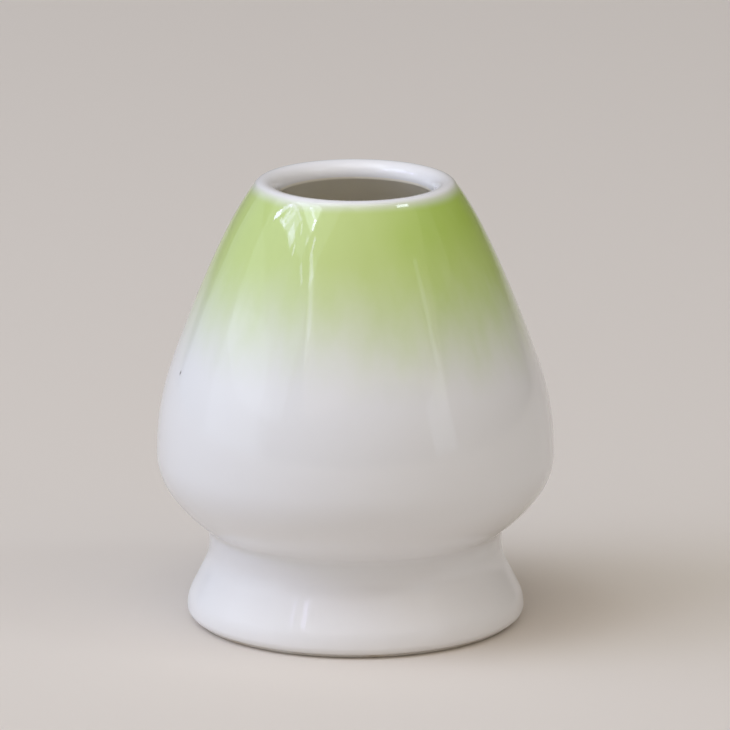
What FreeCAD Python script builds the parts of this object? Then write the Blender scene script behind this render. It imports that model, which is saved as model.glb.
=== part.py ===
import FreeCAD, Part
import math
import os

# Tea whisk holder: a hollow porcelain bulb luted on a flared foot, with its coats of glaze.
# Millimetres, +Z up. The origin is on the axis, on the surface that the foot stands on.
# Every solid is turned about Z from a section in the XZ plane, and the sections share their outlines.

# Bulb, measured over the glaze. Depths are measured down from the lip, heights up from the table.
overall_height = 72.0
shoulder_radius = 24.6
shoulder_depth = 17.0
shoulder_lean = 22.6
belly_radius = 32.0
belly_height = 27.5

# Lip and mouth, measured over the glaze
mouth_radius = 12.5
lip_inner_round = 2.35
lip_outer_round = 1.6
lip_outer_lean = 35.0
throat_land = 0.2
throat_round = 0.5
throat_lean = 35.0
neck_depth = 14.0

# Waist, where the bulb's underside meets the foot
underside_lean = 51.0
underside_run = 2.7
waist_radius = 23.6
crease_height = 15.0
crease_round = 1.6
neck_height = 12.2
bottom_round = 12.0

# Foot
foot_flare = 3.55
foot_lean = 26.8
neck_round_share = 0.56
foot_bulge_height = 1.9
foot_roll = 1.35
foot_wall = 3.2
ring_chamfer = 0.25
recess_glaze_height = 1.2

# Walls, coats and seams
wall = 3.5
glaze = 0.35
slip_gap = 0.4
white_rim_depth = 1.4
green_depth = 29.0

AXIS_FOOT = FreeCAD.Vector(0, 0, 0)
AXIS_UP = FreeCAD.Vector(0, 0, 1)
FULL_TURN = 360
OUT = 90
DOWN = 0
IN = -90
STRAIGHT = 0.00001
SAME = 0.00001

# Outlines. An outline is a list of nodes (radius, height, lean), and one arc or line joins each node
# to the next. Lean is the outline's heading there, in degrees from straight down, positive away
# from the axis.


def lean_of(start, end):
    """Heading of the chord between two nodes."""
    return math.degrees(math.atan2(end[0] - start[0], start[1] - end[1]))


def ahead(node, length):
    """Node that lies a length ahead of another, on its heading."""
    angle = math.radians(node[2])
    return node[0] + length * math.sin(angle), node[1] - length * math.cos(angle), node[2]


def turn(node, bend, lean):
    """Node at the end of an arc, of the radius bend, that turns from a node's heading to another."""
    before, after = math.radians(node[2]), math.radians(lean)
    bend = math.copysign(bend, lean - node[2])
    radius = node[0] + bend * (math.cos(before) - math.cos(after))
    height = node[1] - bend * (math.sin(after) - math.sin(before))
    return radius, height, lean


def ease(start, end):
    """Node between two others at which two arcs meet that leave each of them on its heading."""
    before, after = math.radians(start[2]), math.radians(end[2])
    chord = math.dist(start[:2], end[:2])
    aim = math.radians(lean_of(start, end))
    both = chord * (math.cos(aim - before) + math.cos(aim - after))
    spread = 2 - 2 * math.cos(after - before)
    reach = chord * chord / (both + math.sqrt(both * both + spread * chord * chord))
    radius = (start[0] + end[0] + reach * (math.sin(before) - math.sin(after))) / 2
    height = (start[1] + end[1] - reach * (math.cos(before) - math.cos(after))) / 2
    return radius, height, 2 * lean_of(start, (radius, height)) - start[2]


def offset(outline, distance):
    """Parallel outline, moved to the left of its heading, which is outwards on a way down."""
    moved = []
    for radius, height, lean in outline:
        angle = math.radians(lean)
        moved.append((radius + distance * math.cos(angle), height + distance * math.sin(angle), lean))
    return moved


def node_at(start, end, which, value):
    """Node where the arc between two nodes reaches a radius (which 0) or a height (which 1)."""
    before, after = math.radians(start[2]), math.radians(end[2])
    if abs(after - before) < STRAIGHT:
        along = (value - start[which]) / (end[which] - start[which])
        return tuple(first + along * (last - first) for first, last in zip(start, end))
    bend = math.dist(start[:2], end[:2]) / math.sin((after - before) / 2) / 2
    if which == 0:
        lean = math.copysign(math.acos(math.cos(before) - (value - start[0]) / bend), before + after)
        return value, start[1] - bend * (math.sin(lean) - math.sin(before)), math.degrees(lean)
    lean = math.asin(math.sin(before) - (value - start[1]) / bend)
    return start[0] + bend * (math.cos(before) - math.cos(lean)), value, math.degrees(lean)


def cut(outline, which, value):
    """The two parts of an outline, before and after it first reaches a radius or a height."""
    for n, (start, end) in enumerate(zip(outline, outline[1:])):
        if (start[which] - value) * (end[which] - value) < 0:
            node = node_at(start, end, which, value)
            return [*outline[: n + 1], node], [node, *outline[n + 1 :]]
    raise ValueError("the outline doesn't reach %g" % value)


def back(outline):
    """The same outline walked the other way."""
    return [(radius, height, lean + FULL_TURN / 2) for radius, height, lean in reversed(outline)]


def point(radius, height):
    """Point of the XZ plane."""
    return FreeCAD.Vector(radius, 0, height)


def edge(start, end):
    """Line or arc between two nodes."""
    bow = math.radians(end[2] - start[2]) / 4
    if abs(bow) < STRAIGHT:
        return Part.makeLine(point(*start[:2]), point(*end[:2]))
    aim = math.radians(lean_of(start, end))
    rise = math.dist(start[:2], end[:2]) / 2 * math.tan(bow)
    radius = (start[0] + end[0]) / 2 - rise * math.cos(aim)
    height = (start[1] + end[1]) / 2 - rise * math.sin(aim)
    return Part.Arc(point(*start[:2]), point(radius, height), point(*end[:2])).toShape()


def turned(*outlines):
    """Solid turned from the section that outlines enclose, each joined to the next by a line."""
    sides = []
    for outline, following in zip(outlines, [*outlines[1:], outlines[0]]):
        sides += [edge(start, end) for start, end in zip(outline, outline[1:])]
        last, first = point(*outline[-1][:2]), point(*following[0][:2])
        if not last.isEqual(first, SAME):
            sides.append(Part.makeLine(last, first))
    return Part.Face(Part.Wire(sides)).revolve(AXIS_FOOT, AXIS_UP, FULL_TURN)


# The form's own outlines, over the glaze


def lip_side():
    """Outside of the bulb, from the crest of the lip down to the underside."""
    crest = (mouth_radius + lip_inner_round, overall_height, OUT)
    lip = turn(crest, lip_outer_round, lip_outer_lean)
    shoulder = (shoulder_radius, overall_height - shoulder_depth, shoulder_lean)
    belly = (belly_radius, belly_height, DOWN)
    under = ahead((waist_radius, crease_height, -underside_lean), -underside_run)
    upper = [crest, lip, ease(lip, shoulder), shoulder]
    return [*upper, ease(shoulder, belly), belly, ease(belly, under), under]


def bulb_base():
    """Hidden underside of the bulb, from the waist's corner to the axis."""
    corner = (waist_radius, crease_height, -underside_lean)
    flat = turn(corner, bottom_round, IN)
    return [corner, flat, (0, flat[1], IN)]


def waist_fillet():
    """Hollow round between the bulb's underside and the foot."""
    reach = crease_round * math.tan(math.radians(underside_lean) / 2)
    start = ahead((waist_radius, crease_height, -underside_lean), -reach)
    return [start, turn(start, crease_round, DOWN)]


def foot_side():
    """Side of the foot, from the neck down to its widest place: a hollow round, a slope and a full round."""
    out, down = math.sin(math.radians(foot_lean)), math.cos(math.radians(foot_lean))
    rounds = ((neck_height - foot_bulge_height) * out - foot_flare * down) / (1 - down)
    neck = (waist_radius, neck_height, DOWN)
    full = (1 - neck_round_share) * rounds
    bulge = (waist_radius + foot_flare, foot_bulge_height, DOWN)
    slope = (bulge[0] - full * (1 - down), bulge[1] + full * out, foot_lean)
    return [neck, turn(neck, neck_round_share * rounds, foot_lean), slope, bulge]


def outside():
    """Whole outside, from the crest of the lip to the rolled edge under the foot."""
    foot = foot_side()
    return [*lip_side(), *waist_fillet(), *foot, turn(foot[-1], foot_roll, IN)]


def inside():
    """Whole inside, from the crest of the lip through the throat to the axis on the floor."""
    crest = (mouth_radius + lip_inner_round, overall_height, IN)
    throat = turn(crest, lip_inner_round, DOWN)
    land = ahead(throat, throat_land)
    flare = turn(land, throat_round, throat_lean)
    hollow = cut(offset([*lip_side(), *bulb_base()], -wall), 1, overall_height - neck_depth)[1]
    return [crest, throat, land, flare, ease(flare, hollow[0]), *hollow]


# Sub-parts


def body_shell():
    """Fired clay of the bulb, from the lip to its closed round floor."""
    outer = offset([*lip_side(), *bulb_base()], -glaze)
    return turned(outer, back(offset(inside(), glaze)))


def joint_faces():
    """The bulb's underside over the seam, and the top of the foot below it."""
    base = [waist_fillet()[0], *bulb_base()]
    bulb = cut(offset(base, -glaze), 0, waist_radius - foot_wall + glaze)[0]
    foot = cut(offset(base, slip_gap - glaze), 0, waist_radius - glaze)[1]
    return bulb, cut(foot, 0, waist_radius - foot_wall + glaze)[0]


def luting_slip():
    """Slip that holds the bulb on the foot, smoothed to a hollow round in the waist."""
    bulb, foot = joint_faces()
    return turned(offset(waist_fillet(), -glaze), foot, back(bulb))


def flared_foot():
    """Fired clay of the hollow foot, with the bare ring that it stands on."""
    side = foot_side()
    outer = offset([*side, turn(side[-1], foot_roll, IN)], -glaze)
    inner = offset(side, glaze - foot_wall)
    ring_outer, ring_inner = outer[-1][0], inner[-1][0]
    ring = [
        (ring_outer, ring_chamfer, DOWN),
        (ring_outer - ring_chamfer, 0, DOWN),
        (ring_inner + ring_chamfer, 0, DOWN),
        (ring_inner, ring_chamfer, DOWN),
    ]
    return turned(outer, ring, back(inner), back(joint_faces()[1]))


def coat(outline):
    """Glaze that lies under an outline of the outside."""
    return turned(outline, back(offset(outline, -glaze)))


def rim_glaze():
    """White glaze over the lip, from the green band to the top of the throat's straight land."""
    outer = cut(outside(), 1, overall_height - white_rim_depth)[0]
    inner = inside()[:2]
    return turned(back(inner), outer, back(offset(outer, -glaze)), offset(inner, glaze))


def green_glaze():
    """Green glaze of the upper part."""
    below_rim = cut(outside(), 1, overall_height - white_rim_depth)[1]
    return coat(cut(below_rim, 1, overall_height - green_depth)[0])


def white_glaze():
    """White glaze of the lower part and the outside of the foot."""
    return coat(cut(outside(), 1, overall_height - green_depth)[1])


def lining_glaze():
    """Glaze inside the bulb, from the throat down."""
    lining = inside()[1:]
    return turned(lining, back(offset(lining, glaze)))


def recess_glaze():
    """Glaze inside the foot and under the bulb's floor, which stops above the bare ring."""
    side = [*foot_side(), (waist_radius + foot_flare, recess_glaze_height, DOWN)]
    clay = cut(offset(bulb_base(), -glaze), 0, waist_radius - foot_wall + glaze)[1]
    face = cut(bulb_base(), 0, waist_radius - foot_wall)[1]
    return turned(clay, back(face), offset(side, -foot_wall), back(offset(side, glaze - foot_wall)))


def main():
    """Write one STEP file for each sub-part."""
    os.makedirs("parts", exist_ok=True)
    body_shell().exportStep("parts/body_shell.step")
    flared_foot().exportStep("parts/flared_foot.step")
    luting_slip().exportStep("parts/luting_slip.step")
    rim_glaze().exportStep("parts/rim_glaze.step")
    green_glaze().exportStep("parts/green_glaze.step")
    white_glaze().exportStep("parts/white_glaze.step")
    lining_glaze().exportStep("parts/lining_glaze.step")
    recess_glaze().exportStep("parts/recess_glaze.step")


main()
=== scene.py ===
"""A porcelain stand for a tea whisk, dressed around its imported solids."""
import logging
import math
from dataclasses import dataclass
from enum import Enum
from typing import Callable, Iterable

import bpy
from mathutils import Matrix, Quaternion, Vector


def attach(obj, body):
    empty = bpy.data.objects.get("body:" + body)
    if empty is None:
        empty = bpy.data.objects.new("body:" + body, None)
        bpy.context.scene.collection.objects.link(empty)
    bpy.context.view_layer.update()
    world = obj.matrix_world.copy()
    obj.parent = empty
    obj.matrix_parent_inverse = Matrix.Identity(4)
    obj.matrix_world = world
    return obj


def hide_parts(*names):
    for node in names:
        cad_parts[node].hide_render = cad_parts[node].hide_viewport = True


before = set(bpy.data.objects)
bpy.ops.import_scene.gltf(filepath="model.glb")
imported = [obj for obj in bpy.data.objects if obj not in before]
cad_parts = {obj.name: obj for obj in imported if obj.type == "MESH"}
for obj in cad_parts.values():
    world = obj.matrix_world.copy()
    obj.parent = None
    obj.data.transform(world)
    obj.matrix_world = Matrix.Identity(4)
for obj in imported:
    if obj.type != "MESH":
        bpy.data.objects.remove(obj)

LOG = logging.getLogger("whisk_holder")
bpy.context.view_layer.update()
MM = 0.001
MERGE_GAP = 0.001 * MM

Piece = bpy.types.Object
Socket = bpy.types.NodeSocket
Node = tuple[float, float, float]
Point = tuple[float, float]
Colour = tuple[float, float, float]
Stretch = tuple[float, float, float]
Ramp = tuple[float, float, float, float]

WHITE_GLAZE: Colour = (238, 238, 238)
# Painted light: the lip is set a lighter white than the body's glaze, lifting the shade in its
# inner round
LIP_GLAZE_PAINTED_LIGHT: Colour = (246, 245, 245)
# Painted light: the foot is set a lighter white than the body's glaze
FOOT_GLAZE_PAINTED_LIGHT: Colour = (244, 243, 242)
SPRAYED_GREEN: Colour = (203, 221, 146)
DEEP_GREEN: Colour = (178, 208, 86)
BARE_CLAY: Colour = (236, 232, 225)
FLASHED_CLAY: Colour = (224, 213, 196)


class Side(Enum):
    """Headings of an outline, in degrees from straight down, positive away from the axis."""

    OUT = 90.0
    DOWN = 0.0
    IN = -90.0


class Measure(Enum):
    """Measures of an outline's node, by their place in it."""

    RADIUS = 0
    HEIGHT = 1


class Coat(Enum):
    """Coats of glaze on the outside, from the lip down."""

    RIM = "rim_glaze"
    GREEN = "green_glaze"
    WHITE = "white_glaze"


class Outline:
    """A chain of tangent arcs, as nodes of radius, height and lean, in metres and degrees."""

    # Changes of heading below which an arc is a line, and above which the outline turns back
    STRAIGHT = 0.001
    TURN_BACK = 179.0

    def __init__(self, nodes: Iterable[Node]) -> None:
        """Keep the nodes.

        Args:
            nodes: The outline's nodes, in order.
        """
        self.nodes: list[Node] = list(nodes)

    @staticmethod
    def aim(start: Node, end: Node) -> float:
        """Heading of the chord between two nodes, in degrees."""
        return math.degrees(math.atan2(end[0] - start[0], start[1] - end[1]))

    @staticmethod
    def ahead(node: Node, length: float) -> Node:
        """Node that lies a length ahead of another, on its heading."""
        angle = math.radians(node[2])
        return node[0] + length * math.sin(angle), node[1] - length * math.cos(angle), node[2]

    @staticmethod
    def turn(node: Node, bend: float, lean: float) -> Node:
        """Node at the end of an arc that turns from a node's heading to another.

        Args:
            node: Start of the arc.
            bend: Radius of the arc.
            lean: Heading at its end.

        Returns:
            The end node.
        """
        before, after = math.radians(node[2]), math.radians(lean)
        bend = math.copysign(bend, lean - node[2])
        radius = node[0] + bend * (math.cos(before) - math.cos(after))
        return radius, node[1] - bend * (math.sin(after) - math.sin(before)), lean

    @staticmethod
    def ease(start: Node, end: Node) -> Node:
        """Node at which two arcs meet that leave two others on their headings.

        Args:
            start: First node.
            end: Last node.

        Returns:
            The node between them.
        """
        before, after = math.radians(start[2]), math.radians(end[2])
        chord = math.dist(start[:2], end[:2])
        line = math.radians(Outline.aim(start, end))
        both = chord * (math.cos(line - before) + math.cos(line - after))
        spread = 2 - 2 * math.cos(after - before)
        reach = chord * chord / (both + math.sqrt(both * both + spread * chord * chord))
        radius = (start[0] + end[0] + reach * (math.sin(before) - math.sin(after))) / 2
        height = (start[1] + end[1] - reach * (math.cos(before) - math.cos(after))) / 2
        return radius, height, 2 * Outline.aim(start, (radius, height, 0.0)) - start[2]

    def moved(self, distance: float) -> "Outline":
        """Parallel outline.

        Args:
            distance: How far it lies to the left of the heading.

        Returns:
            The outline there.
        """
        made = []
        for radius, height, lean in self.nodes:
            angle = math.radians(lean)
            out, up = distance * math.cos(angle), distance * math.sin(angle)
            made.append((radius + out, height + up, lean))
        return Outline(made)

    def back(self) -> "Outline":
        """The same outline walked the other way."""
        return Outline((node[0], node[1], node[2] + 180.0) for node in reversed(self.nodes))

    def parted(self, which: Measure, value: float) -> tuple["Outline", "Outline"]:
        """The two parts of the outline, before and after it first reaches a radius or a height.

        Args:
            which: The measure.
            value: The radius or height.

        Returns:
            The part before and the part after.
        """
        at = which.value
        for n, (start, end) in enumerate(zip(self.nodes, self.nodes[1:])):
            if (start[at] - value) * (end[at] - value) < 0:
                node = self.node_at(start, end, which, value)
                return Outline([*self.nodes[: n + 1], node]), Outline([node, *self.nodes[n + 1 :]])
        raise ValueError(f"the outline doesn't reach {value}")

    @staticmethod
    def node_at(start: Node, end: Node, which: Measure, value: float) -> Node:
        """Node where the arc between two nodes reaches a radius or a height.

        Args:
            start: Start of the arc.
            end: End of the arc.
            which: The measure.
            value: The radius or height.

        Returns:
            The node there.
        """
        before, after = math.radians(start[2]), math.radians(end[2])
        if abs(end[2] - start[2]) < Outline.STRAIGHT:
            at = which.value
            along = (value - start[at]) / (end[at] - start[at])
            return tuple(a + along * (b - a) for a, b in zip(start, end))
        bend = math.dist(start[:2], end[:2]) / math.sin((after - before) / 2) / 2
        if which is Measure.RADIUS:
            cosine = math.cos(before) - (value - start[0]) / bend
            lean = math.copysign(math.acos(cosine), before + after)
            return value, start[1] - bend * (math.sin(lean) - math.sin(before)), math.degrees(lean)
        lean = math.asin(math.sin(before) - (value - start[1]) / bend)
        return start[0] + bend * (math.cos(before) - math.cos(lean)), value, math.degrees(lean)

    def points(self, step: float, turn: float = 6.0) -> list[Point]:
        """Points along the arcs.

        Args:
            step: Greatest length between points, in metres.
            turn: Greatest change of heading between points, in degrees.

        Returns:
            Radius and height of each point.
        """
        made = [self.nodes[0][:2]]
        for start, end in zip(self.nodes, self.nodes[1:]):
            swing = end[2] - start[2]
            if abs(swing) > self.TURN_BACK:
                swing = 0.0
            chord = math.dist(start[:2], end[:2])
            count = max(1, math.ceil(chord / step), math.ceil(abs(swing) / turn))
            made.extend(self.along(start, end, swing, n / count) for n in range(1, count + 1))
        return made

    @staticmethod
    def along(start: Node, end: Node, swing: float, share: float) -> Point:
        """Point on the arc between two nodes.

        Args:
            start: Start of the arc.
            end: End of the arc.
            swing: Change of heading along it, in degrees.
            share: Share of the way to its end.

        Returns:
            Radius and height of the point.
        """
        if abs(swing) < Outline.STRAIGHT or share == 1:
            return tuple(a + share * (b - a) for a, b in zip(start[:2], end[:2]))
        bend = math.dist(start[:2], end[:2]) / math.sin(math.radians(swing) / 2) / 2
        before, now = math.radians(start[2]), math.radians(start[2] + share * swing)
        return (
            start[0] + bend * (math.cos(before) - math.cos(now)),
            start[1] - bend * (math.sin(now) - math.sin(before)),
        )


@dataclass(frozen=True)
class Form:
    """Sizes of the whole form over the glaze, in metres and degrees."""

    overall_height: float = 72.0 * MM
    shoulder_radius: float = 24.6 * MM
    shoulder_depth: float = 17.0 * MM
    shoulder_lean: float = 22.6
    belly_radius: float = 32.0 * MM
    belly_height: float = 27.5 * MM
    mouth_radius: float = 12.5 * MM
    lip_inner_round: float = 2.35 * MM
    lip_outer_round: float = 1.6 * MM
    lip_outer_lean: float = 35.0
    throat_land: float = 0.2 * MM
    throat_round: float = 0.5 * MM
    throat_lean: float = 35.0
    neck_depth: float = 14.0 * MM
    underside_lean: float = 51.0
    underside_run: float = 2.7 * MM
    waist_radius: float = 23.6 * MM
    crease_height: float = 15.0 * MM
    crease_round: float = 1.6 * MM
    neck_height: float = 12.2 * MM
    bottom_round: float = 12.0 * MM
    foot_flare: float = 3.55 * MM
    foot_lean: float = 26.8
    neck_round_share: float = 0.56
    foot_bulge_height: float = 1.9 * MM
    foot_roll: float = 1.35 * MM
    foot_wall: float = 3.2 * MM
    recess_glaze_height: float = 1.2 * MM
    wall: float = 3.5 * MM
    glaze: float = 0.35 * MM
    white_rim_depth: float = 1.4 * MM
    green_depth: float = 29.0 * MM

    @property
    def corner(self) -> Node:
        """Corner at the waist between the bulb's underside and the foot."""
        return self.waist_radius, self.crease_height, -self.underside_lean

    @property
    def hollow(self) -> Node:
        """Node at which the bulb's underside runs into the hollow round of the waist."""
        reach = self.crease_round * math.tan(math.radians(self.underside_lean) / 2)
        return Outline.ahead(self.corner, -reach)

    def lip_side(self) -> list[Node]:
        """Outside of the bulb.

        Returns:
            Nodes from the crest of the lip down to the underside.
        """
        crest = (self.mouth_radius + self.lip_inner_round, self.overall_height, Side.OUT.value)
        lip = Outline.turn(crest, self.lip_outer_round, self.lip_outer_lean)
        shoulder_height = self.overall_height - self.shoulder_depth
        shoulder = (self.shoulder_radius, shoulder_height, self.shoulder_lean)
        belly = (self.belly_radius, self.belly_height, Side.DOWN.value)
        under = Outline.ahead(self.corner, -self.underside_run)
        upper = [crest, lip, Outline.ease(lip, shoulder), shoulder]
        return [*upper, Outline.ease(shoulder, belly), belly, Outline.ease(belly, under), under]

    def bulb_base(self) -> list[Node]:
        """Hidden underside of the bulb, from the waist's corner to the axis."""
        flat = Outline.turn(self.corner, self.bottom_round, Side.IN.value)
        return [self.corner, flat, (0.0, flat[1], Side.IN.value)]

    def foot_side(self) -> list[Node]:
        """Side of the foot: a hollow round, a slope and a full round.

        Returns:
            Nodes from the neck down to the widest place.
        """
        lean = math.radians(self.foot_lean)
        out, down = math.sin(lean), math.cos(lean)
        drop = self.neck_height - self.foot_bulge_height
        rounds = (drop * out - self.foot_flare * down) / (1 - down)
        neck = (self.waist_radius, self.neck_height, Side.DOWN.value)
        flared = Outline.turn(neck, self.neck_round_share * rounds, self.foot_lean)
        full = (1 - self.neck_round_share) * rounds
        bulge = (self.waist_radius + self.foot_flare, self.foot_bulge_height, Side.DOWN.value)
        slope = (bulge[0] - full * (1 - down), bulge[1] + full * out, self.foot_lean)
        return [neck, flared, slope, bulge]

    def outside(self) -> Outline:
        """Whole outside.

        Returns:
            Outline from the crest of the lip to the rolled edge under the foot.
        """
        waist = [self.hollow, Outline.turn(self.hollow, self.crease_round, Side.DOWN.value)]
        foot = self.foot_side()
        roll = Outline.turn(foot[-1], self.foot_roll, Side.IN.value)
        return Outline([*self.lip_side(), *waist, *foot, roll])

    def inside(self) -> Outline:
        """Whole inside.

        Returns:
            Outline from the crest of the lip through the throat to the axis on the floor.
        """
        crest = (self.mouth_radius + self.lip_inner_round, self.overall_height, Side.IN.value)
        throat = Outline.turn(crest, self.lip_inner_round, Side.DOWN.value)
        land = Outline.ahead(throat, self.throat_land)
        flare = Outline.turn(land, self.throat_round, self.throat_lean)
        wall = Outline([*self.lip_side(), *self.bulb_base()]).moved(-self.wall)
        hollow = wall.parted(Measure.HEIGHT, self.overall_height - self.neck_depth)[1].nodes
        return Outline([crest, throat, land, flare, Outline.ease(flare, hollow[0]), *hollow])


def pick_edges(piece: Piece, where: Callable[[Vector], bool]) -> None:
    """Select the edges of the active piece whose two ends lie in a place, in edit mode.

    Args:
        piece: The piece.
        where: Says whether a corner lies in the place.
    """
    bpy.ops.object.mode_set(mode="EDIT")
    bpy.ops.mesh.select_all(action="DESELECT")
    bpy.ops.object.mode_set(mode="OBJECT")
    corners = piece.data.vertices
    for edge in piece.data.edges:
        edge.select = all(where(corners[n].co) for n in edge.vertices)
    bpy.ops.object.mode_set(mode="EDIT")
    bpy.ops.mesh.select_mode(type="EDGE")


@dataclass(frozen=True)
class Wheel:
    """Turns drawn sections into closed pieces with Blender's own modelling tools."""

    steps: int = 240
    round_segments: int = 4
    smooth_angle: float = 40.0
    sideways_stretch: float = 1.3

    @staticmethod
    def take(piece: Piece) -> None:
        """Make a piece the only one that is selected and active.

        Args:
            piece: The piece.
        """
        if bpy.context.mode != "OBJECT":
            bpy.ops.object.mode_set(mode="OBJECT")
        bpy.ops.object.select_all(action="DESELECT")
        piece.select_set(True)
        bpy.context.view_layer.objects.active = piece

    @staticmethod
    def draw(name: str, section: list[Point]) -> Piece:
        """Draw a closed section in the XZ plane by extruding one point from place to place.

        Args:
            name: Name of the piece.
            section: Radius and height of each corner, the first one repeated at the end.

        Returns:
            The piece, in edit mode.
        """
        bpy.ops.object.select_all(action="DESELECT")
        first = section[0]
        bpy.ops.mesh.primitive_plane_add(size=MM, location=(first[0], 0.0, first[1]))
        piece = bpy.context.active_object
        piece.name = piece.data.name = name
        bpy.ops.object.transform_apply(location=True, rotation=True, scale=True)
        bpy.ops.object.mode_set(mode="EDIT")
        bpy.ops.mesh.select_mode(type="VERT")
        bpy.ops.mesh.select_all(action="SELECT")
        bpy.ops.mesh.merge(type="CENTER")
        for last, point in zip(section, section[1:]):
            move = (point[0] - last[0], 0.0, point[1] - last[1])
            bpy.ops.mesh.extrude_vertices_move(TRANSFORM_OT_translate={"value": move})
        bpy.ops.mesh.select_all(action="SELECT")
        bpy.ops.mesh.remove_doubles(threshold=MERGE_GAP)
        return piece

    def turn(self, name: str, section: list[Point]) -> Piece:
        """Turn a section about the upright axis.

        Args:
            name: Name of the piece.
            section: Radius and height of each corner, closed along the axis or on itself.

        Returns:
            The closed piece, in object mode.
        """
        piece = self.draw(name, section)
        bpy.ops.mesh.spin(
            steps=self.steps, angle=math.tau, center=(0.0, 0.0, 0.0), axis=(0.0, 0.0, 1.0)
        )
        bpy.ops.mesh.select_all(action="SELECT")
        bpy.ops.mesh.remove_doubles(threshold=MERGE_GAP)
        bpy.ops.mesh.normals_make_consistent(inside=False)
        bpy.ops.object.mode_set(mode="OBJECT")
        return piece

    def round_ring(self, piece: Piece, where: Callable[[Vector], bool], width: float) -> None:
        """Round the rings of edges whose two ends both lie in a place.

        Args:
            piece: The piece.
            where: Says whether a corner lies in the place.
            width: Width of the rounding, in metres.
        """
        self.take(piece)
        pick_edges(piece, where)
        bpy.ops.mesh.bevel(
            offset=width, segments=self.round_segments, affect="EDGES", clamp_overlap=True
        )
        bpy.ops.object.mode_set(mode="OBJECT")

    def sway(self, piece: Piece, strength: float, size: float) -> None:
        """Move the wall a little sideways from place to place, as fired ware does.

        Args:
            piece: The piece.
            strength: Greatest difference of the movement, in metres.
            size: Size of a swell, in metres.
        """
        self.take(piece)
        swells = (("X", "SOFT_NOISE", size), ("Y", "HARD_NOISE", self.sideways_stretch * size))
        for axis, kind, scale in swells:
            texture = bpy.data.textures.new(f"sway_{axis}", "CLOUDS")
            texture.noise_scale = scale
            texture.noise_depth = 0
            texture.noise_type = kind
            modifier = piece.modifiers.new(f"sway_{axis}", "DISPLACE")
            modifier.texture = texture
            modifier.texture_coords = "LOCAL"
            modifier.direction = axis
            modifier.mid_level = 0.5
            modifier.strength = strength
            bpy.ops.object.modifier_apply(modifier=modifier.name)

    def smooth(self, piece: Piece) -> None:
        """Shade a piece smooth, with its corners kept."""
        self.take(piece)
        bpy.ops.object.shade_smooth_by_angle(angle=math.radians(self.smooth_angle))


class Tree:
    """A shader tree with short calls for its nodes."""

    # Places of a Mix node's colour sockets, whose names its other sockets have too
    FIRST, SECOND, MIXED = 6, 7, 2
    # Middle of a noise's values
    MIDDLE = 0.5

    def __init__(self, tree: bpy.types.NodeTree) -> None:
        """Keep a tree, emptied.

        Args:
            tree: The node tree of a material or a group.
        """
        self.tree = tree
        tree.nodes.clear()

    @property
    def given(self) -> bpy.types.bpy_prop_collection:
        """Inputs of the group, as sockets inside it."""
        return self.tree.nodes["in"].outputs

    def give(self, label: str, value: Socket) -> None:
        """Feed one of the group's outputs."""
        self.put(self.tree.nodes["out"].inputs[label], value)

    def node(self, kind: str, **settings: object) -> bpy.types.Node:
        """Add a node.

        Args:
            kind: Node type, without its ShaderNode.
            settings: Properties to set on it.

        Returns:
            The node.
        """
        made = self.tree.nodes.new(kind if kind.startswith("Node") else f"ShaderNode{kind}")
        for name, value in settings.items():
            setattr(made, name, value)
        return made

    def put(self, socket: Socket, value: object) -> None:
        """Feed an input.

        Args:
            socket: The input.
            value: A socket to link to it, or its value.
        """
        if isinstance(value, Socket):
            self.tree.links.new(value, socket)
        else:
            socket.default_value = value

    def math(self, operation: str, *values: object, clamp: bool = False) -> Socket:
        """Result of a Math node.

        Args:
            operation: Its operation.
            values: Sockets or numbers for its inputs.
            clamp: Keeps the result from 0 to 1.

        Returns:
            The output socket.
        """
        made = self.node("Math", operation=operation, use_clamp=clamp)
        for socket, value in zip(made.inputs, values):
            self.put(socket, value)
        return made.outputs[0]

    def ramp(
        self, value: object, low: object, high: object, start: float = 0.0, end: float = 1.0
    ) -> Socket:
        """Smooth step of a value from one level to another.

        Args:
            value: The value.
            low: Level at which the step starts.
            high: Level at which it ends.
            start: Result below it.
            end: Result above it.

        Returns:
            The output socket.
        """
        made = self.node("MapRange", interpolation_type="SMOOTHSTEP")
        for socket, given in zip(made.inputs, (value, low, high, start, end)):
            self.put(socket, given)
        return made.outputs[0]

    def mix(self, share: object, first: object, second: object) -> Socket:
        """Mix of two colours.

        Args:
            share: Share of the second.
            first: First colour or socket.
            second: Second colour or socket.

        Returns:
            The output socket.
        """
        made = self.node("Mix", data_type="RGBA")
        self.put(made.inputs["Factor"], share)
        self.put(made.inputs[self.FIRST], first)
        self.put(made.inputs[self.SECOND], second)
        return made.outputs[self.MIXED]

    def place(self, scale: Stretch = (1.0, 1.0, 1.0)) -> Socket:
        """Position on the object.

        Args:
            scale: Stretch of it along each axis.

        Returns:
            The output socket.
        """
        mapping = self.node("Mapping")
        mapping.inputs["Scale"].default_value = scale
        self.put(mapping.inputs["Vector"], self.node("TexCoord").outputs["Object"])
        return mapping.outputs[0]

    def noise(self, vector: Socket, size: float, detail: float = 2.0) -> Socket:
        """Noise with swells of a size.

        Args:
            vector: Position.
            size: Size of a swell, in metres.
            detail: Octaves of finer noise.

        Returns:
            Its value, from 0 to 1.
        """
        made = self.node("TexNoise")
        self.put(made.inputs["Vector"], vector)
        made.inputs["Scale"].default_value = 1.0 / size
        made.inputs["Detail"].default_value = detail
        return made.outputs[0]

    def stray(self, value: Socket, noise: Socket, reach: float) -> Socket:
        """Value moved up and down by a noise, over a reach."""
        return self.math("MULTIPLY_ADD", self.math("SUBTRACT", noise, self.MIDDLE), reach, value)

    def bump(self, height: Socket) -> Socket:
        """Normal over a height.

        Args:
            height: The height, in metres.

        Returns:
            The output socket.
        """
        made = self.node("Bump")
        made.inputs["Distance"].default_value = 1.0
        self.put(made.inputs["Height"], height)
        return made.outputs[0]


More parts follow.
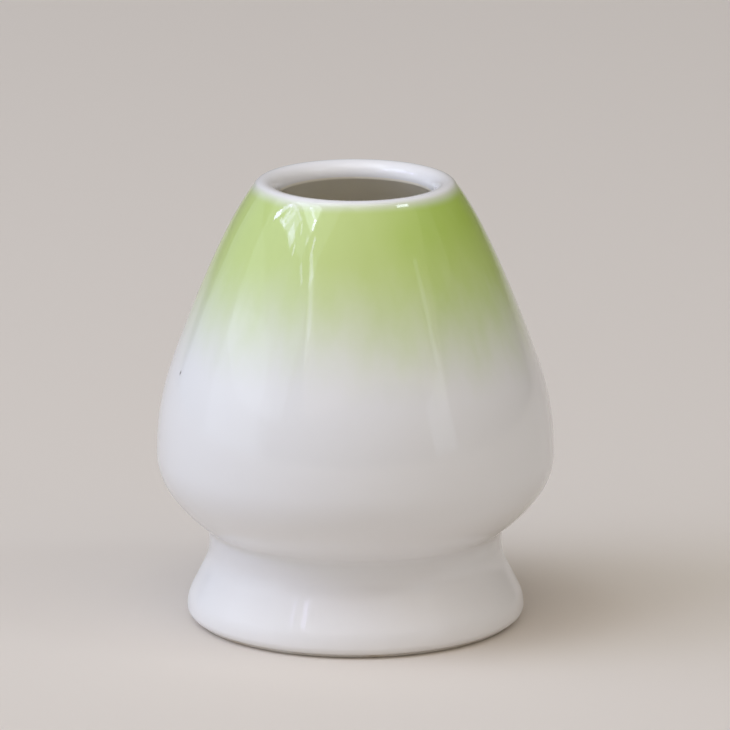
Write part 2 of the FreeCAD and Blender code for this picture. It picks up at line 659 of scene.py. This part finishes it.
def rgba(colour: Colour) -> tuple[float, float, float, float]:
    """Linear colour with full alpha from display values of 0 to 255, by the sRGB curve."""
    linear = [c / 255 / 12.92 if c <= 10 else ((c / 255 + 0.055) / 1.055) ** 2.4 for c in colour]
    return (*linear, 1.0)


def start_finish(name: str) -> tuple[bpy.types.Material, Tree, bpy.types.Node]:
    """Start a material.

    Args:
        name: Its name.

    Returns:
        The material, its tree and the shader that feeds its surface.
    """
    made = bpy.data.materials.new(name)
    made.use_nodes = True
    tree = Tree(made.node_tree)
    shader = tree.node("BsdfPrincipled")
    tree.put(tree.node("OutputMaterial").inputs["Surface"], shader.outputs[0])
    return made, tree, shader


@dataclass(frozen=True)
class Spray:
    """How the green was sprayed: sizes of its swells, how far they move its edges, and ramps.

    A ramp holds two levels of a measure and the results at them.
    """

    rim_in: float = 15.1 * MM
    rim_out: float = 16.7 * MM
    rim_stray: float = 1.4 * MM
    rim_oval: float = 0.97
    fade_low: float = 42.0 * MM
    fade_high: float = 63.5 * MM
    run_size: float = 4.5 * MM
    run_stretch: Stretch = (1.0, 1.0, 0.1)
    run_stray: float = 5 * MM
    run_share: float = 0.25
    swell_size: float = 26 * MM
    swell_stretch: Stretch = (1.0, 1.0, 0.5)
    swell_stray: float = 4 * MM
    fine_size: float = 1.1 * MM
    fine_stray: float = 0.8 * MM
    right_lowered: Ramp = (2 * MM, 12 * MM, 0.0, 1.0 * MM)
    patches: Ramp = (0.42, 0.82, 0.45, 1.05)
    upper_depth: Ramp = (60 * MM, 68 * MM, 0.0, 0.7)
    # Green deeper towards the right side of the view
    right_depth: Ramp = (-3 * MM, 12 * MM, 0.13, 0.62)
    above_foot: Ramp = (9 * MM, 13 * MM, 0.0, 1.0)
    foot_coat: float = 0.5


class Groups:
    """Shader groups that the finishes share, each built once."""

    SKIN_STRETCH: Stretch = (1.0, 1.0, 0.45)
    SKIN_SWELL, SKIN_RIPPLE, SKIN_GLOSS = 5.5 * MM, 0.9 * MM, 12 * MM
    SPECK_SHAPE: Stretch = (1.0, 1.0, 0.7)
    SPECK_GRAIN, SPECK_RAGGED = 0.2 * MM, 0.12 * MM
    CLAY_GRAIN, CLAY_FLASH = 0.25 * MM, 7 * MM
    FLASH_RAMP: Ramp = (0.45, 0.75, 0.0, 1.0)

    @staticmethod
    def start(name: str, inputs: dict[str, object], outputs: dict[str, str]) -> Tree:
        """Make an empty group with its sockets.

        Args:
            name: Name of the group.
            inputs: Name and default value of each input; a tuple is a colour.
            outputs: Name and socket type of each output.

        Returns:
            Its tree, with input and output nodes.
        """
        group = bpy.data.node_groups.new(name, "ShaderNodeTree")
        tree = Tree(group)
        for label, value in inputs.items():
            kind = "NodeSocketColor" if isinstance(value, tuple) else "NodeSocketFloat"
            socket = group.interface.new_socket(name=label, in_out="INPUT", socket_type=kind)
            socket.default_value = value
        for label, kind in outputs.items():
            group.interface.new_socket(name=label, in_out="OUTPUT", socket_type=kind)
        tree.node("NodeGroupInput", name="in")
        tree.node("NodeGroupOutput", name="out")
        return tree

    @staticmethod
    def spread(tree: Tree, oval: float) -> tuple[Socket, Socket, Socket]:
        """Measures of a place on the object.

        Args:
            tree: The group's tree.
            oval: Share of the way to the right that counts towards the distance from the axis.

        Returns:
            Its place to the right, its distance from the axis and its height above the table.
        """
        split = tree.node("SeparateXYZ")
        tree.put(split.inputs[0], tree.place())
        right, depth, height = split.outputs
        side = tree.math("MULTIPLY", right, oval)
        squares = tree.math("MULTIPLY", side, side), tree.math("MULTIPLY", depth, depth)
        return right, tree.math("SQRT", tree.math("ADD", *squares)), height

    @classmethod
    def green_veil(cls) -> bpy.types.NodeTree:
        """Sprayed green that thins out to white over the lip and in soft runs at its lower edge.
        The lip and the foot take a lighter white than the body's glaze, which is painted light.

        Returns:
            The group.
        """
        if "green_veil" in bpy.data.node_groups:
            return bpy.data.node_groups["green_veil"]
        spray = Spray()
        tree = cls.start(
            "green_veil",
            {
                "White": rgba(WHITE_GLAZE),
                "Lip": rgba(LIP_GLAZE_PAINTED_LIGHT),
                "Foot": rgba(FOOT_GLAZE_PAINTED_LIGHT),
                "Green": rgba(SPRAYED_GREEN),
                "Deep": rgba(DEEP_GREEN),
                "Rim In": spray.rim_in,
                "Rim Out": spray.rim_out,
                "Fade Low": spray.fade_low,
                "Fade High": spray.fade_high,
            },
            {"Color": "NodeSocketColor", "Coat": "NodeSocketFloat"},
        )
        given = tree.given
        right, radius, height = cls.spread(tree, spray.rim_oval)
        runs = tree.noise(tree.place(spray.run_stretch), spray.run_size, 2.0)
        swell = tree.noise(tree.place(spray.swell_stretch), spray.swell_size, 1.0)
        fine = tree.noise(tree.place(), spray.fine_size, 2.0)
        level = tree.stray(height, runs, spray.run_stray)
        level = tree.stray(level, swell, spray.swell_stray)
        level = tree.stray(level, fine, spray.fine_stray)
        level = tree.math("ADD", level, tree.ramp(right, *spray.right_lowered))
        lower = tree.ramp(level, given["Fade Low"], given["Fade High"])
        wander = tree.stray(radius, swell, spray.rim_stray)
        upper = tree.ramp(wander, given["Rim In"], given["Rim Out"])
        patch = tree.math("MULTIPLY_ADD", runs, spray.run_share, swell)
        patch = tree.ramp(patch, *spray.patches)
        patch = tree.math("ADD", patch, tree.ramp(height, *spray.upper_depth))
        depth = tree.math("MULTIPLY", patch, tree.ramp(right, *spray.right_depth), clamp=True)
        green = tree.mix(depth, given["Green"], given["Deep"])
        # The unsprayed rim is real white; its lighter colour there is painted light
        white = tree.mix(upper, given["Lip"], given["White"])
        above = tree.ramp(height, *spray.above_foot)
        # Below the foot's top the white turns lighter, which is painted light
        white = tree.mix(above, given["Foot"], white)
        tree.give("Color", tree.mix(tree.math("MULTIPLY", lower, upper), white, green))
        coat = tree.math("MULTIPLY_ADD", above, 1.0 - spray.foot_coat, spray.foot_coat)
        tree.give("Coat", coat)
        return tree.tree

    @classmethod
    def fired_skin(cls) -> bpy.types.NodeTree:
        """Slow swells and fine ripple of a fired glaze, in metres, and its uneven gloss.

        Returns:
            The group.
        """
        if "fired_skin" in bpy.data.node_groups:
            return bpy.data.node_groups["fired_skin"]
        tree = cls.start(
            "fired_skin",
            {"Swell": 6.0e-6, "Ripple": 0.35e-6, "Gloss": 0.1, "Uneven": 0.06},
            {"Height": "NodeSocketFloat", "Roughness": "NodeSocketFloat"},
        )
        given = tree.given
        swell = tree.noise(tree.place(cls.SKIN_STRETCH), cls.SKIN_SWELL, 1.0)
        ripple = tree.noise(tree.place(), cls.SKIN_RIPPLE, 2.0)
        height = tree.math("MULTIPLY", swell, given["Swell"])
        tree.give("Height", tree.math("MULTIPLY_ADD", ripple, given["Ripple"], height))
        cloud = tree.noise(tree.place(), cls.SKIN_GLOSS, 3.0)
        rough = tree.math("MULTIPLY_ADD", cloud, given["Uneven"], given["Gloss"])
        tree.give("Roughness", rough)
        return tree.tree

    @classmethod
    def iron_speck(cls) -> bpy.types.NodeTree:
        """Mask of one speck of iron in the glaze, at a place on the surface.

        Returns:
            The group.
        """
        if "iron_speck" in bpy.data.node_groups:
            return bpy.data.node_groups["iron_speck"]
        tree = cls.start(
            "iron_speck",
            {"X": -27.9 * MM, "Y": -9.1 * MM, "Z": 42.55 * MM, "Size": 0.5 * MM},
            {"Mask": "NodeSocketFloat"},
        )
        given = tree.given
        spot = tree.node("CombineXYZ")
        for socket, label in zip(spot.inputs, "XYZ"):
            tree.put(socket, given[label])
        gap = tree.node("VectorMath", operation="DISTANCE")
        tree.put(gap.inputs[0], tree.place(cls.SPECK_SHAPE))
        shaped = tree.node("VectorMath", operation="MULTIPLY")
        tree.put(shaped.inputs[0], spot.outputs[0])
        shaped.inputs[1].default_value = cls.SPECK_SHAPE
        tree.put(gap.inputs[1], shaped.outputs[0])
        grain = tree.noise(tree.place(), cls.SPECK_GRAIN, 1.0)
        ragged = tree.math("MULTIPLY_ADD", grain, cls.SPECK_RAGGED, gap.outputs["Value"])
        tree.give("Mask", tree.ramp(ragged, given["Size"], 0.0))
        return tree.tree

    @classmethod
    def clay_grain(cls) -> bpy.types.NodeTree:
        """Fine grain of bare fired clay, as a shade and a height in metres.

        Returns:
            The group.
        """
        if "clay_grain" in bpy.data.node_groups:
            return bpy.data.node_groups["clay_grain"]
        tree = cls.start(
            "clay_grain",
            {"Clay": rgba(BARE_CLAY), "Flash": rgba(FLASHED_CLAY), "Grain": 6.0e-6},
            {"Color": "NodeSocketColor", "Height": "NodeSocketFloat"},
        )
        given = tree.given
        grain = tree.noise(tree.place(), cls.CLAY_GRAIN, 3.0)
        flash = tree.ramp(tree.noise(tree.place(), cls.CLAY_FLASH, 3.0), *cls.FLASH_RAMP)
        tree.give("Color", tree.mix(flash, given["Clay"], given["Flash"]))
        tree.give("Height", tree.math("MULTIPLY", grain, given["Grain"]))
        return tree.tree


@dataclass(frozen=True)
class GlazeFinish:
    """A glossy fired glaze: an opaque body under a clear, smooth coat."""

    name: str
    white: Colour = WHITE_GLAZE
    green: Colour = SPRAYED_GREEN
    deep: Colour = DEEP_GREEN
    speck: Colour = (62, 46, 38)
    veiled: bool = True
    cloud_size: float = 9 * MM
    cloud_ramp: Ramp = (0.4, 0.75, 0.0, 1.0)
    gloss: float = 0.34
    sheen: float = 0.12
    coat: float = 1.0
    coat_roughness: float = 0.035
    coat_bend: float = 1.5

    def body(self, tree: Tree) -> tuple[Socket, object]:
        """Colour of the glaze and weight of the clear coat over it.

        Args:
            tree: The material's tree.

        Returns:
            The colour, and the weight as a number or a socket.
        """
        if not self.veiled:
            clouds = tree.ramp(tree.noise(tree.place(), self.cloud_size, 2.0), *self.cloud_ramp)
            return tree.mix(clouds, rgba(self.white), rgba(self.deep)), self.coat
        veil = tree.node("Group", node_tree=Groups.green_veil())
        for label, colour in (("White", self.white), ("Green", self.green), ("Deep", self.deep)):
            veil.inputs[label].default_value = rgba(colour)
        speck = tree.node("Group", node_tree=Groups.iron_speck())
        marked = tree.mix(speck.outputs["Mask"], veil.outputs["Color"], rgba(self.speck))
        return marked, veil.outputs["Coat"]

    def material(self) -> bpy.types.Material:
        """Build the finish.

        Returns:
            The material.
        """
        made, tree, shader = start_finish(self.name)
        skin = tree.node("Group", node_tree=Groups.fired_skin())
        skin.inputs["Gloss"].default_value = self.gloss
        colour, weight = self.body(tree)
        tree.put(shader.inputs["Base Color"], colour)
        tree.put(shader.inputs["Roughness"], skin.outputs["Roughness"])
        tree.put(shader.inputs["Normal"], tree.bump(skin.outputs["Height"]))
        tree.put(shader.inputs["Coat Weight"], weight)
        shader.inputs["Specular IOR Level"].default_value = self.sheen
        shader.inputs["Coat Roughness"].default_value = self.coat_roughness
        shader.inputs["Coat IOR"].default_value = self.coat_bend
        return made


@dataclass(frozen=True)
class ClayFinish:
    """Bare fired clay, matt and finely grained."""

    name: str
    clay: Colour = BARE_CLAY
    flash: Colour = FLASHED_CLAY
    roughness: float = 0.82

    def material(self) -> bpy.types.Material:
        """Build the finish.

        Returns:
            The material.
        """
        made, tree, shader = start_finish(self.name)
        grain = tree.node("Group", node_tree=Groups.clay_grain())
        grain.inputs["Clay"].default_value = rgba(self.clay)
        grain.inputs["Flash"].default_value = rgba(self.flash)
        tree.put(shader.inputs["Base Color"], grain.outputs["Color"])
        tree.put(shader.inputs["Normal"], tree.bump(grain.outputs["Height"]))
        shader.inputs["Roughness"].default_value = self.roughness
        return made


def dress(piece: Piece, material: bpy.types.Material) -> None:
    """Give a piece one material all over."""
    piece.data.materials.clear()
    piece.data.materials.append(material)


@dataclass
class GlazeCoats:
    """Glaze on the outside of the bulb and the foot, one piece for each coat."""

    form: Form
    wheel: Wheel
    step: float = 0.55 * MM
    turn: float = 4.0
    hidden_step: float = 1.6 * MM
    hidden_turn: float = 12.0
    sway: float = 0.05 * MM
    swell: float = 15 * MM
    edge_round: float = 0.14 * MM
    near: float = 0.02 * MM

    def outline(self, coat: Coat) -> Outline:
        """Part of the outside that a coat covers.

        Args:
            coat: The coat.

        Returns:
            Its outline.
        """
        form, at = self.form, Measure.HEIGHT
        rim, rest = form.outside().parted(at, form.overall_height - form.white_rim_depth)
        green, white = rest.parted(at, form.overall_height - form.green_depth)
        return {Coat.RIM: rim, Coat.GREEN: green, Coat.WHITE: white}[coat]

    def section(self, coat: Coat) -> list[Point]:
        """Section of a coat. That of the rim also goes down the inner round of the lip.

        Args:
            coat: The coat.

        Returns:
            Its corners, the first one repeated at the end.
        """
        outer = self.outline(coat)
        under = outer.moved(-self.form.glaze).back()
        made = outer.points(self.step, self.turn)
        hidden = under.points(self.hidden_step, self.hidden_turn)
        if coat is Coat.RIM:
            throat = Outline(self.form.inside().nodes[:2])
            made = throat.back().points(self.step, self.turn)[:-1] + made
            inner = throat.moved(self.form.glaze)
            hidden += inner.points(self.hidden_step, self.hidden_turn)[1:]
        return [*made, *hidden, made[0]]

    def build(self) -> dict[Coat, Piece]:
        """Turn each coat, and round the edge of the lowest one above the bare ring.

        Returns:
            The piece of each coat.
        """
        made = {}
        for coat in Coat:
            piece = self.wheel.turn(f"{coat.value}_coat", self.section(coat))
            if coat is Coat.WHITE:
                edge = self.outline(coat).nodes[-1]
                self.wheel.round_ring(piece, lambda co: self.at_edge(co, edge), self.edge_round)
            self.wheel.sway(piece, self.sway, self.swell)
            self.wheel.smooth(piece)
            made[coat] = piece
        return made

    def at_edge(self, corner: Vector, edge: Node) -> bool:
        """Says whether a corner lies on the ring through a node."""
        radius = math.hypot(corner.x, corner.y)
        return abs(radius - edge[0]) < self.near and abs(corner.z - edge[1]) < self.near

    def finish(self, pieces: dict[Coat, Piece]) -> None:
        """Dress the coats and stand them for their solids.

        Args:
            pieces: The piece of each coat.
        """
        for coat, piece in pieces.items():
            dress(piece, GlazeFinish(f"{coat.value}_finish").material())
            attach(piece, "root")
            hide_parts(coat.value)
            LOG.info("glaze: %s", piece.name)


@dataclass
class Lining:
    """Glaze inside the bulb, from the throat down, in a paler and warmer white than the outside
    glaze, which is painted light.
    """

    form: Form
    wheel: Wheel
    step: float = 0.9 * MM
    hidden_step: float = 2.0 * MM
    hidden_turn: float = 12.0
    # Painted light: the lining is paler and warmer than the outer white glaze, standing in for
    # warm light inside the bulb
    white: Colour = (251, 246, 231)
    deep: Colour = (249, 243, 228)

    def build(self) -> Piece:
        """Turn the lining from the throat to the axis on the floor.

        Returns:
            The piece.
        """
        face = Outline(self.form.inside().nodes[1:])
        behind = face.moved(self.form.glaze).back()
        hidden = behind.points(self.hidden_step, self.hidden_turn)
        piece = self.wheel.turn("lining_glaze_coat", [*hidden, *face.points(self.step)])
        self.wheel.smooth(piece)
        return piece

    def finish(self, piece: Piece) -> None:
        """Dress the lining and stand it for its solid.

        Args:
            piece: The lining.
        """
        glaze = GlazeFinish(
            "lining_glaze_painted_light_finish", white=self.white, deep=self.deep, veiled=False
        )
        dress(piece, glaze.material())
        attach(piece, "root")
        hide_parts("lining_glaze")
        LOG.info("lining: %s", piece.name)


@dataclass
class Foot:
    """Clay foot with its bare ring, and the glaze in the hollow under it."""

    form: Form
    wheel: Wheel
    slip_gap: float = 0.4 * MM
    ring_chamfer: float = 0.25 * MM
    ring_round: float = 0.12 * MM
    near: float = 0.01 * MM
    step: float = 0.7 * MM
    hidden_step: float = 1.6 * MM
    recess_white: Colour = (234, 234, 234)
    recess_deep: Colour = (226, 225, 222)

    def clay_section(self) -> list[Point]:
        """Section of the clay.

        Returns:
            Its corners, the first one repeated at the end.
        """
        form, side, at = self.form, self.form.foot_side(), Measure.RADIUS
        roll = Outline.turn(side[-1], form.foot_roll, Side.IN.value)
        outer = Outline([*side, roll]).moved(-form.glaze)
        inner = Outline(side).moved(form.glaze - form.foot_wall)
        top = Outline([form.hollow, *form.bulb_base()]).moved(self.slip_gap - form.glaze)
        top = top.parted(at, form.waist_radius - form.glaze)[1]
        top = top.parted(at, form.waist_radius - form.foot_wall + form.glaze)[0]
        out, within, cut = outer.nodes[-1][0], inner.nodes[-1][0], self.ring_chamfer
        ring = [(out, cut), (out - cut, 0.0), (within + cut, 0.0), (within, cut)]
        rise = [*inner.back().points(self.step), *top.back().points(self.step)]
        made = [*outer.points(self.step), *ring, *rise]
        return [*made, made[0]]

    def recess_section(self) -> list[Point]:
        """Section of the glaze under the floor and down the inside.

        Returns:
            Its corners, from the axis back to the axis.
        """
        form, at = self.form, Measure.RADIUS
        edge = (form.waist_radius + form.foot_flare, form.recess_glaze_height, Side.DOWN.value)
        side = Outline([*form.foot_side(), edge])
        clay = Outline(form.bulb_base()).moved(-form.glaze)
        clay = clay.parted(at, form.waist_radius - form.foot_wall + form.glaze)[1]
        face = Outline(form.bulb_base()).parted(at, form.waist_radius - form.foot_wall)[1]
        return [
            *face.back().points(self.step),
            *side.moved(-form.foot_wall).points(self.step),
            *side.moved(form.glaze - form.foot_wall).back().points(self.hidden_step),
            *clay.points(self.hidden_step),
        ]

    def build(self) -> tuple[Piece, Piece]:
        """Turn the clay foot with rounded ring edges, and the glaze in its hollow.

        Returns:
            The clay and the glaze.
        """
        clay = self.wheel.turn("foot_clay", self.clay_section())
        low = self.ring_chamfer + self.near
        self.wheel.round_ring(clay, lambda co: co.z < low, self.ring_round)
        self.wheel.smooth(clay)
        recess = self.wheel.turn("recess_glaze_coat", self.recess_section())
        self.wheel.smooth(recess)
        return clay, recess

    def finish(self, clay: Piece, recess: Piece) -> None:
        """Dress both pieces and stand them for their solids.

        Args:
            clay: The clay foot.
            recess: The glaze in its hollow.
        """
        dress(clay, ClayFinish("foot_clay_finish").material())
        glaze = GlazeFinish(
            "recess_glaze_finish", white=self.recess_white, deep=self.recess_deep, veiled=False
        )
        dress(recess, glaze.material())
        stands_for = ((clay, "flared_foot", "biscuit"), (recess, "recess_glaze", "lining_glaze"))
        for piece, node, slot in stands_for:
            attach(piece, "root")
            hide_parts(node)
            LOG.info("foot: %s", piece.name)


@dataclass
class HiddenClay:
    """Clay of the bulb and the slip in its seam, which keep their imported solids."""

    shell: str = "body_shell"
    slip: str = "luting_slip"
    slip_clay: Colour = (233, 229, 222)
    slip_flash: Colour = (224, 216, 204)
    slip_roughness: float = 0.9

    def finish(self) -> None:
        """Dress the two solids."""
        dress(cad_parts[self.shell], ClayFinish("bulb_clay_finish").material())
        seam = ClayFinish(
            "luting_slip_finish", self.slip_clay, self.slip_flash, self.slip_roughness
        )
        dress(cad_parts[self.slip], seam.material())
        LOG.info("clay: %s and %s", self.shell, self.slip)


@dataclass(frozen=True)
class Softbox:
    """One rectangular studio lamp, placed and sized by the angles at which the object sees it."""

    name: str
    azimuth: float
    elevation: float
    across: float
    tall: float
    glow: float
    roll: float = 0.0
    distance: float = 2.2
    colour: Colour = (255, 255, 255)

    def span(self, angle: float) -> float:
        """Length that fills an angle, in degrees, at the lamp's distance."""
        return 2 * self.distance * math.tan(math.radians(angle) / 2)

    def build(self, target: Vector) -> Piece:
        """Place the lamp, turn it to the target and light its face evenly.

        Args:
            target: Point that it lights.

        Returns:
            The lamp.
        """
        turn, rise = math.radians(self.azimuth), math.radians(self.elevation)
        level = math.cos(rise)
        away = Vector((math.sin(turn) * level, -math.cos(turn) * level, math.sin(rise)))
        lamp = bpy.data.lights.new(self.name, "AREA")
        lamp.shape = "RECTANGLE"
        lamp.size, lamp.size_y = self.span(self.across), self.span(self.tall)
        lamp.energy = math.pi * self.glow * lamp.size * lamp.size_y
        lamp.color = rgba(self.colour)[:3]
        made = bpy.data.objects.new(self.name, lamp)
        bpy.context.collection.objects.link(made)
        made.location = target + away * self.distance
        roll = Quaternion((0.0, 0.0, 1.0), math.radians(self.roll))
        made.rotation_euler = ((-away).to_track_quat("-Z", "Y") @ roll).to_euler()
        return made


@dataclass
class Studio:
    """Pale sweep, soft lamps and the camera."""

    centre_height: float = 36 * MM
    distance: float = 1.4
    elevation: float = 14.5
    focal_pixels: float = 8713.0
    frame_pixels: float = 730.0
    aim_pixel: Point = (355.1, 398.2)
    sensor_width: float = 36.0
    view_depth: float = 50.0
    floor_size: float = 8.0
    floor_colour: Colour = (224, 216, 206)
    floor_roughness: float = 0.9
    cove: float = 0.9
    cove_segments: int = 16
    near_floor: float = 0.1
    ambient: float = 0.15
    ambient_colour: Colour = (255, 243, 232)

    def floor(self) -> None:
        """Pale floor that sweeps up behind the object."""
        bpy.ops.object.select_all(action="DESELECT")
        bpy.ops.mesh.primitive_plane_add(size=self.floor_size, location=(0.0, 0.0, 0.0))
        sweep = bpy.context.active_object
        sweep.name = "studio_sweep"
        pick_edges(sweep, lambda co: co.y > 0)
        rise = (0.0, 0.0, self.floor_size / 2)
        bpy.ops.mesh.extrude_region_move(TRANSFORM_OT_translate={"value": rise})
        bpy.ops.object.mode_set(mode="OBJECT")
        pick_edges(sweep, lambda co: co.y > 0 and co.z < self.near_floor)
        bpy.ops.mesh.bevel(offset=self.cove, segments=self.cove_segments, affect="EDGES")
        bpy.ops.object.mode_set(mode="OBJECT")
        bpy.ops.object.shade_smooth()
        made, _, shader = start_finish("studio_sweep_finish")
        shader.inputs["Base Color"].default_value = rgba(self.floor_colour)
        shader.inputs["Roughness"].default_value = self.floor_roughness
        dress(sweep, made)

    def air(self) -> None:
        """Even pale light from all round."""
        world = bpy.data.worlds.new("studio_air")
        bpy.context.scene.world = world
        world.use_nodes = True
        tree = Tree(world.node_tree)
        light = tree.node("Background")
        light.inputs["Color"].default_value = rgba(self.ambient_colour)
        light.inputs["Strength"].default_value = self.ambient
        tree.put(tree.node("OutputWorld").inputs["Surface"], light.outputs[0])

    def lamps(self) -> list[Piece]:
        """A window high on the left, a small bright lamp and a pane on the right, and soft boxes.

        Returns:
            The lamps.
        """
        target = Vector((0.0, 0.0, self.centre_height))
        sky, glass, warm = (226, 240, 255), (200, 194, 255), (255, 238, 218)
        plan = [
            Softbox("window", -70, 57, 30, 44, 1.0, colour=sky),
            Softbox("window_head", -72, 49, 30, 9, 3.2, colour=sky),
            Softbox("window_blaze", -98.6, 32.4, 5.0, 2.0, 14.0, roll=42.0, colour=glass),
            Softbox("window_arch", -92.6, 37.2, 9.6, 1.5, 6.6, roll=43.0, colour=glass),
            Softbox("window_blind", -80.0, 38.3, 17, 5.8, 2.9, roll=6.0, colour=glass),
            Softbox("window_sill", -88.0, 34.6, 8.4, 1.1, 6.0, roll=12.0, colour=glass),
            Softbox("window_pane", -71.8, 36.5, 7.2, 4.2, 4.8, roll=-14.0, colour=glass),
            Softbox("window_slat_a", -82.0, 38.6, 2.2, 6.0, 3.2, roll=-35.0, colour=glass),
            Softbox("window_slat_b", -87.3, 36.8, 1.8, 4.5, 3.6, roll=-35.0, colour=glass),
            Softbox("window_bar_a", -77.5, 42.0, 15.0, 1.1, 4.2, roll=6.0, colour=glass),
            Softbox("window_bar_b", -63.8, 40.9, 1.1, 3.8, 4.2, roll=52.0, colour=glass),
            Softbox("window_bar_c", -53.0, 40.0, 1.5, 2.6, 3.6, colour=glass),
            Softbox("window_bar_d", -63.8, 34.6, 1.1, 3.6, 5.0, roll=22.0, colour=glass),
            Softbox("window_edge", -51.0, 45.3, 2.0, 3.4, 11.5, roll=6.0, colour=glass),
            Softbox("window_top", -58.0, 47.5, 9.4, 1.2, 6.0, roll=-9.0, colour=glass),
            Softbox("window_frame", -44.9, 39.8, 1.5, 5.8, 5.4, roll=8.0, colour=glass),
            Softbox("window_jamb", -42.0, 35.0, 2.6, 5.6, 3.8, roll=40.0, colour=glass),
            Softbox("window_cord", -37.6, 31.0, 2.4, 7.6, 1.9, roll=33.0, colour=glass),
            Softbox("window_chain", -50.0, 32.3, 4.4, 1.0, 3.6, roll=-22.0, colour=glass),
            Softbox("window_haze", -37.0, 31.0, 5.0, 12, 0.7, roll=33.0, colour=sky),
            Softbox("left_sky", -75, 45, 60, 60, 0.70, colour=sky),
            Softbox("left_box", -96, 12, 84, 26, 0.46, colour=sky),
            Softbox("left_core", -80, 8, 40, 26, 0.60, roll=12.0, colour=sky),
            Softbox("right_sky", 60, 50, 60, 50, 0.28),
            Softbox("right_pane", 53.0, 11.0, 15.0, 20.0, 0.80, roll=6.0, colour=sky),
            Softbox("right_cord", 58.0, 27.5, 3.0, 11.0, 0.9, colour=sky),
            Softbox("right_spot", 69.5, 48.9, 11.0, 4.0, 11.0, roll=-24.0, colour=sky),
            Softbox("front_sky", 15, 50, 90, 50, 0.47, colour=warm),
            Softbox("top_box", -30, 80, 40, 40, 1.24),
        ]
        return [lamp.build(target) for lamp in plan]

    def camera(self) -> None:
        """Long lens at the height from which the object is seen."""
        lens = bpy.data.cameras.new("camera")
        lens.sensor_fit = "HORIZONTAL"
        lens.sensor_width = self.sensor_width
        lens.lens = self.sensor_width * self.focal_pixels / self.frame_pixels
        lens.clip_end = self.view_depth
        made = bpy.data.objects.new("camera", lens)
        bpy.context.collection.objects.link(made)
        rise = math.radians(self.elevation)
        back, up = self.distance * math.cos(rise), self.distance * math.sin(rise)
        made.location = (0.0, -back, self.centre_height + up)
        half = self.frame_pixels / 2
        pitch = rise - math.atan2(self.aim_pixel[1] - half, self.focal_pixels)
        yaw = math.atan2(half - self.aim_pixel[0], self.focal_pixels)
        level = math.cos(pitch)
        ahead = Vector((math.sin(yaw) * level, math.cos(yaw) * level, -math.sin(pitch)))
        made.rotation_euler = ahead.to_track_quat("-Z", "Y").to_euler()
        bpy.context.scene.camera = made

    def build(self) -> None:
        """Set up the whole studio."""
        self.floor()
        self.air()
        self.lamps()
        self.camera()
        bpy.context.scene.view_settings.view_transform = "Standard"
        LOG.info("studio: sweep, lamps and camera")


def main() -> None:
    """Build the object's pieces in order, then the studio."""
    logging.basicConfig(level=logging.INFO, format="%(name)s %(message)s")
    form, wheel = Form(), Wheel()
    coats = GlazeCoats(form, wheel)
    coats.finish(coats.build())
    lining = Lining(form, wheel)
    lining.finish(lining.build())
    foot = Foot(form, wheel)
    foot.finish(*foot.build())
    HiddenClay().finish()
    Studio().build()


if __name__ == "__main__":
    main()
